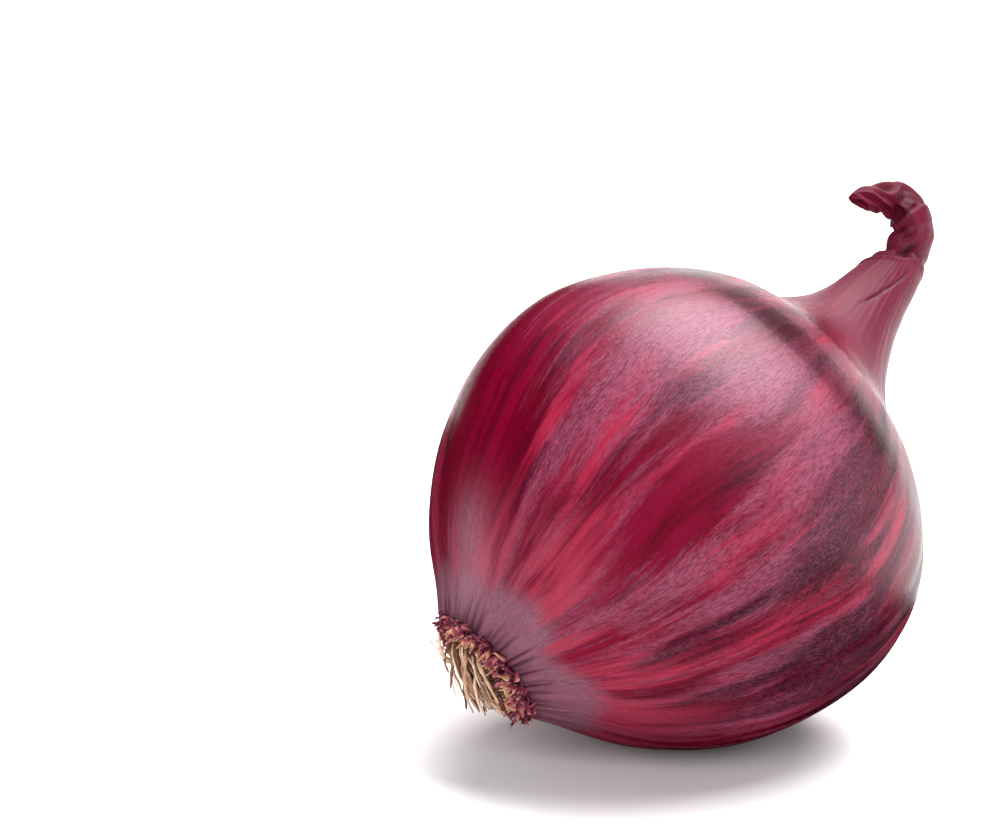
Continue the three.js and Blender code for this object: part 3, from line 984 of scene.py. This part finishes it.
# ruffled collars, one inside the other, and bands of loose scraps that stand off them, in
# millimetres, but for tone, which is the place on the ramp of colours
collars = (
    {"ring": 9.8, "height": 0.9, "lean": 1.9, "ruffle": 0.45, "tone": 0.16},
    {"ring": 9.1, "height": 1.4, "lean": 0.4, "ruffle": 0.6, "tone": 0.2},
    {"ring": 8.3, "height": 1.7, "lean": -0.7, "ruffle": 0.7, "tone": 0.5},
    {"ring": 7.6, "height": 1.5, "lean": -1.5, "ruffle": 0.7, "tone": 0.85},
)
collarShape = {"columns": 640, "rows": 10, "tears": 120, "torn": (0.1, 1.2)}
scrapBands = (
    {"count": 44, "ring": (9.2, 10.3), "height": (0.2, 1.2), "lean": (0.5, 2.6), "tone": (0.0, 0.4)},
    {"count": 34, "ring": (8.2, 9.5), "height": (0.6, 2.2), "lean": (-1.2, 1.2), "tone": (0.1, 0.6)},
    {"count": 26, "ring": (6.7, 8.5), "height": (0.4, 2.0), "lean": (-2.4, 0.3), "tone": (0.5, 1.0)},
)
scrapShape = {
    "width": (0.4, 1.6),
    "curl": (-1.2, 1.2),
    "bow": (-0.6, 0.6),
    "point": (0.7, 2.4),  # the power by which a scrap narrows
    "ragged": 0.38,
    "sunk": 1.6,
    "largest": 285,  # degrees round the plate where the torn edges are largest
    "pulledIn": 0.8,  # mm, where they are small
    "rows": 7,
    "columns": 6,
    "thickness": 0.08,
}


def tornSize(turn):
    # 0.62 + 0.38 cos of the angle from where the torn edges are largest
    return 0.62 + 0.38 * np.cos(apart(turn, scrapShape["largest"]))


def collarPoints(collar, random):
    # a ribbon round the root end: its top edge runs straight between random heights, and it leans
    # in and out in folds, a sum of waves that grows towards that edge
    k = collarShape
    v = np.linspace(0, 1, k["rows"])[:, None]
    turn = 2 * np.pi * np.arange(k["columns"]) / k["columns"]
    tears = np.sort(random.uniform(0, 2 * np.pi, k["tears"]))
    torn = np.interp(turn, tears, random.uniform(*k["torn"], k["tears"]), period=2 * np.pi)
    size = tornSize(turn)
    seed = int(random.integers(1000))
    fold = waves(turn, 2 * v, seed, (10, 48), (4, 12), 9)
    ruck = waves(turn, 2 * v, seed + 1, (20, 70), (2, 6), 9)
    sunk = scrapShape["sunk"]
    ring = collar["ring"] - scrapShape["pulledIn"] * (1 - size)
    swing = collar["lean"] * v**1.5 + collar["ruffle"] * fold * (0.3 + v)
    out = ring + swing * size + 0.12 * ruck
    back = sunk - v * (collar["height"] * torn * size + sunk) - 0.15 * v * ruck
    place = turn + 0.05 * waves(turn, 2 * v, seed + 2, (8, 30), (4, 12), 6) * v
    points = rootCentre + np.stack([back, out * np.cos(place), out * np.sin(place)], -1)
    # painted shade: darker at the collar's foot and where its folds lean in, lighter where they lean
    # out
    tone = collar["tone"] * v + 0.1 * v**3 + 0.2 * fold * v + 0.3 * ruck
    return points.reshape(-1, 3), tone.ravel()


def scrapPoints(band, random):
    # a scrap is a strip that narrows to a torn point, leans and curls over its length, and is
    # bowed across its width
    k = scrapShape
    count, rows, columns = band["count"], k["rows"], k["columns"]
    v = np.linspace(0, 1, rows)[:, None]
    u = np.linspace(-1, 1, columns)[None]
    turn = 2 * np.pi * (np.arange(count) + random.uniform(-0.6, 0.6, count)) / count

    def pick(span):
        return random.uniform(*span, count)[:, None, None]

    height, width = pick(band["height"]), pick(k["width"])
    ring, lean = pick(band["ring"]), pick(band["lean"])
    curl, bow, power = pick(k["curl"]), pick(k["bow"]), pick(k["point"])
    size = tornSize(turn)[:, None, None]
    ragged = random.normal(0, k["ragged"], (count, rows, columns)) * v
    beside = u * width / 2 * (1 - 0.9 * v**power) * (1 + ragged) + curl * v**2
    bowed = bow * (1 - u**2) * (0.4 + v) + 0.12 * ragged
    out = ring - k["pulledIn"] * (1 - size) + lean * size * v**1.5 + bowed
    back = k["sunk"] - v * (height * size + k["sunk"]) * (1 + 0.6 * ragged)
    cosine, sine = np.cos(turn)[:, None, None], np.sin(turn)[:, None, None]
    points = rootCentre + np.stack(
        [back, out * cosine - beside * sine, out * sine + beside * cosine], -1
    )
    # each band's own tone, lighter towards the frayed tip and darker at the foot as painted shade
    tone = np.broadcast_to(pick(band["tone"]) * (0.2 + 0.8 * v), (count, rows, columns))
    return points.reshape(-1, 3), tone.ravel()


def scrapPiece():
    # all scraps and collars in one mesh, given their thickness by a modifier
    k = scrapShape
    random = np.random.default_rng(7)
    made = [scrapPoints(band, random) for band in scrapBands]
    made += [collarPoints(collar, random) for collar in collars]
    count = sum(band["count"] for band in scrapBands)
    perScrap = k["rows"] * k["columns"]
    cells = gridFaces(k["rows"], k["columns"], closed=False)
    scrapFaces = cells + (np.arange(count) * perScrap)[:, None, None]
    rows, columns = collarShape["rows"], collarShape["columns"]
    starts = count * perScrap + np.arange(len(collars)) * rows * columns
    collarFaces = gridFaces(rows, columns) + starts[:, None, None]
    scraps = makePiece(
        "tornSkin",
        layDown(np.concatenate([points for points, _ in made])),
        [scrapFaces.reshape(-1, 4), collarFaces.reshape(-1, 4)],
        tornSkinFinish,
        "bulb",
        {"tone": np.concatenate([tone for _, tone in made])},
    )
    wall = scraps.modifiers.new("thickness", "SOLIDIFY")
    wall.thickness = k["thickness"] * mm
    wall.offset = 0
    return scraps


tornSkin = scrapPiece()
print("torn skin made")

# Studio: pale floor, a broad light overhead, a panel behind, a soft fill in front, and a panel at
# floor height that only reflections show. The floor, the world and the fill stay out of the
# skin's reflections, so that its dark colours stay deep
view = {
    "heading": 33.4,  # degrees, the onion's X axis away from the picture's right
    "elevation": 14,
    "place": (-345.5, -472.42, 199.88),  # mm
    "lens": 135,  # mm
    "sensor": 36,  # mm
}
studio = {
    "floorSize": 8.0,
    "floorColour": "#F7F6F7",
    "worldColour": "#FFFFFF",
    "worldStrength": 0.32,
    # place, target: metres to the picture's right, away from the camera and up; width and height
    # in metres, watts, and what the light is hidden from
    "lights": {
        "overheadSoftbox": ((0.3, 0.28, 1.15), (0, 0, 0.04), (1.3, 1.0), 44, None),
        "backPanel": ((0.6, 1.85, 0.3), (0, 0, 0.05), (1.6, 0.5), 7, None),
        "frontFill": ((-0.5, -1.8, 1.0), (0, 0, 0.04), (2.0, 1.5), 34, "visible_glossy"),
        "floorGlow": ((0.55, 0.6, 0.002), (0.55, 0.6, 1), (1.42, 1.4), 15, "visible_diffuse"),
    },
}


def studioFloor():
    # a level square under the onion
    half = studio["floorSize"] / 2
    mesh = bpy.data.meshes.new("studioFloor")
    corners = [(-half, -half, 0), (half, -half, 0), (half, half, 0), (-half, half, 0)]
    mesh.from_pydata(corners, [], [(0, 1, 2, 3)])
    # Studio paper: uncoated and pale, which looks evenly matt
    material, tree = newMaterial("paleStudioPaper")
    finish = {"Base Color": hexColour(studio["floorColour"]), "Roughness": 0.9}
    shader = addNode(tree, "ShaderNodeBsdfPrincipled", finish, "BSDF")
    addNode(tree, "ShaderNodeOutputMaterial", {"Surface": shader})
    mesh.materials.append(material)
    floor = bpy.data.objects.new("studioFloor", mesh)
    bpy.context.scene.collection.objects.link(floor)
    floor.visible_glossy = False


def studioPlace(right, away, height):
    # metres to the picture's right, away from the camera and up, as a place in the row's frame
    heading = math.radians(view["heading"])
    rightward = Vector((math.cos(heading), -math.sin(heading), 0))
    awayward = Vector((math.sin(heading), math.cos(heading), 0))
    return rightward * right + awayward * away + Vector((0, 0, height))


def areaLight(name, place, target, size, watts, hiddenFrom):
    # a rectangle that faces its target and that the camera doesn't see
    data = bpy.data.lights.new(name, "AREA")
    data.shape = "RECTANGLE"
    data.size, data.size_y = size
    data.energy = watts
    light = bpy.data.objects.new(name, data)
    light.location = studioPlace(*place)
    aim = studioPlace(*target) - light.location
    light.rotation_euler = aim.to_track_quat("-Z", "Y").to_euler()
    light.visible_camera = False
    if hiddenFrom:
        setattr(light, hiddenFrom, False)
    bpy.context.scene.collection.objects.link(light)


def studioWorld():
    world = bpy.data.worlds.new("studioAir")
    bpy.context.scene.world = world
    world.use_nodes = True
    background = world.node_tree.nodes["Background"]
    background.inputs["Color"].default_value = hexColour(studio["worldColour"])
    background.inputs["Strength"].default_value = studio["worldStrength"]
    world.cycles_visibility.glossy = False
    bpy.context.scene.view_settings.view_transform = "Standard"


def photoCamera():
    # faces away along the heading, tipped down by the elevation
    elevation = math.radians(view["elevation"])
    look = studioPlace(0, math.cos(elevation), -math.sin(elevation))
    data = bpy.data.cameras.new("photoCamera")
    data.lens = view["lens"]
    data.sensor_width = view["sensor"]
    camera = bpy.data.objects.new("photoCamera", data)
    camera.location = Vector(view["place"]) * mm
    camera.rotation_euler = look.to_track_quat("-Z", "Y").to_euler()
    bpy.context.scene.collection.objects.link(camera)
    bpy.context.scene.camera = camera


studioFloor()
for name, settings in studio["lights"].items():
    areaLight(name, *settings)
studioWorld()
photoCamera()
print("studio made")
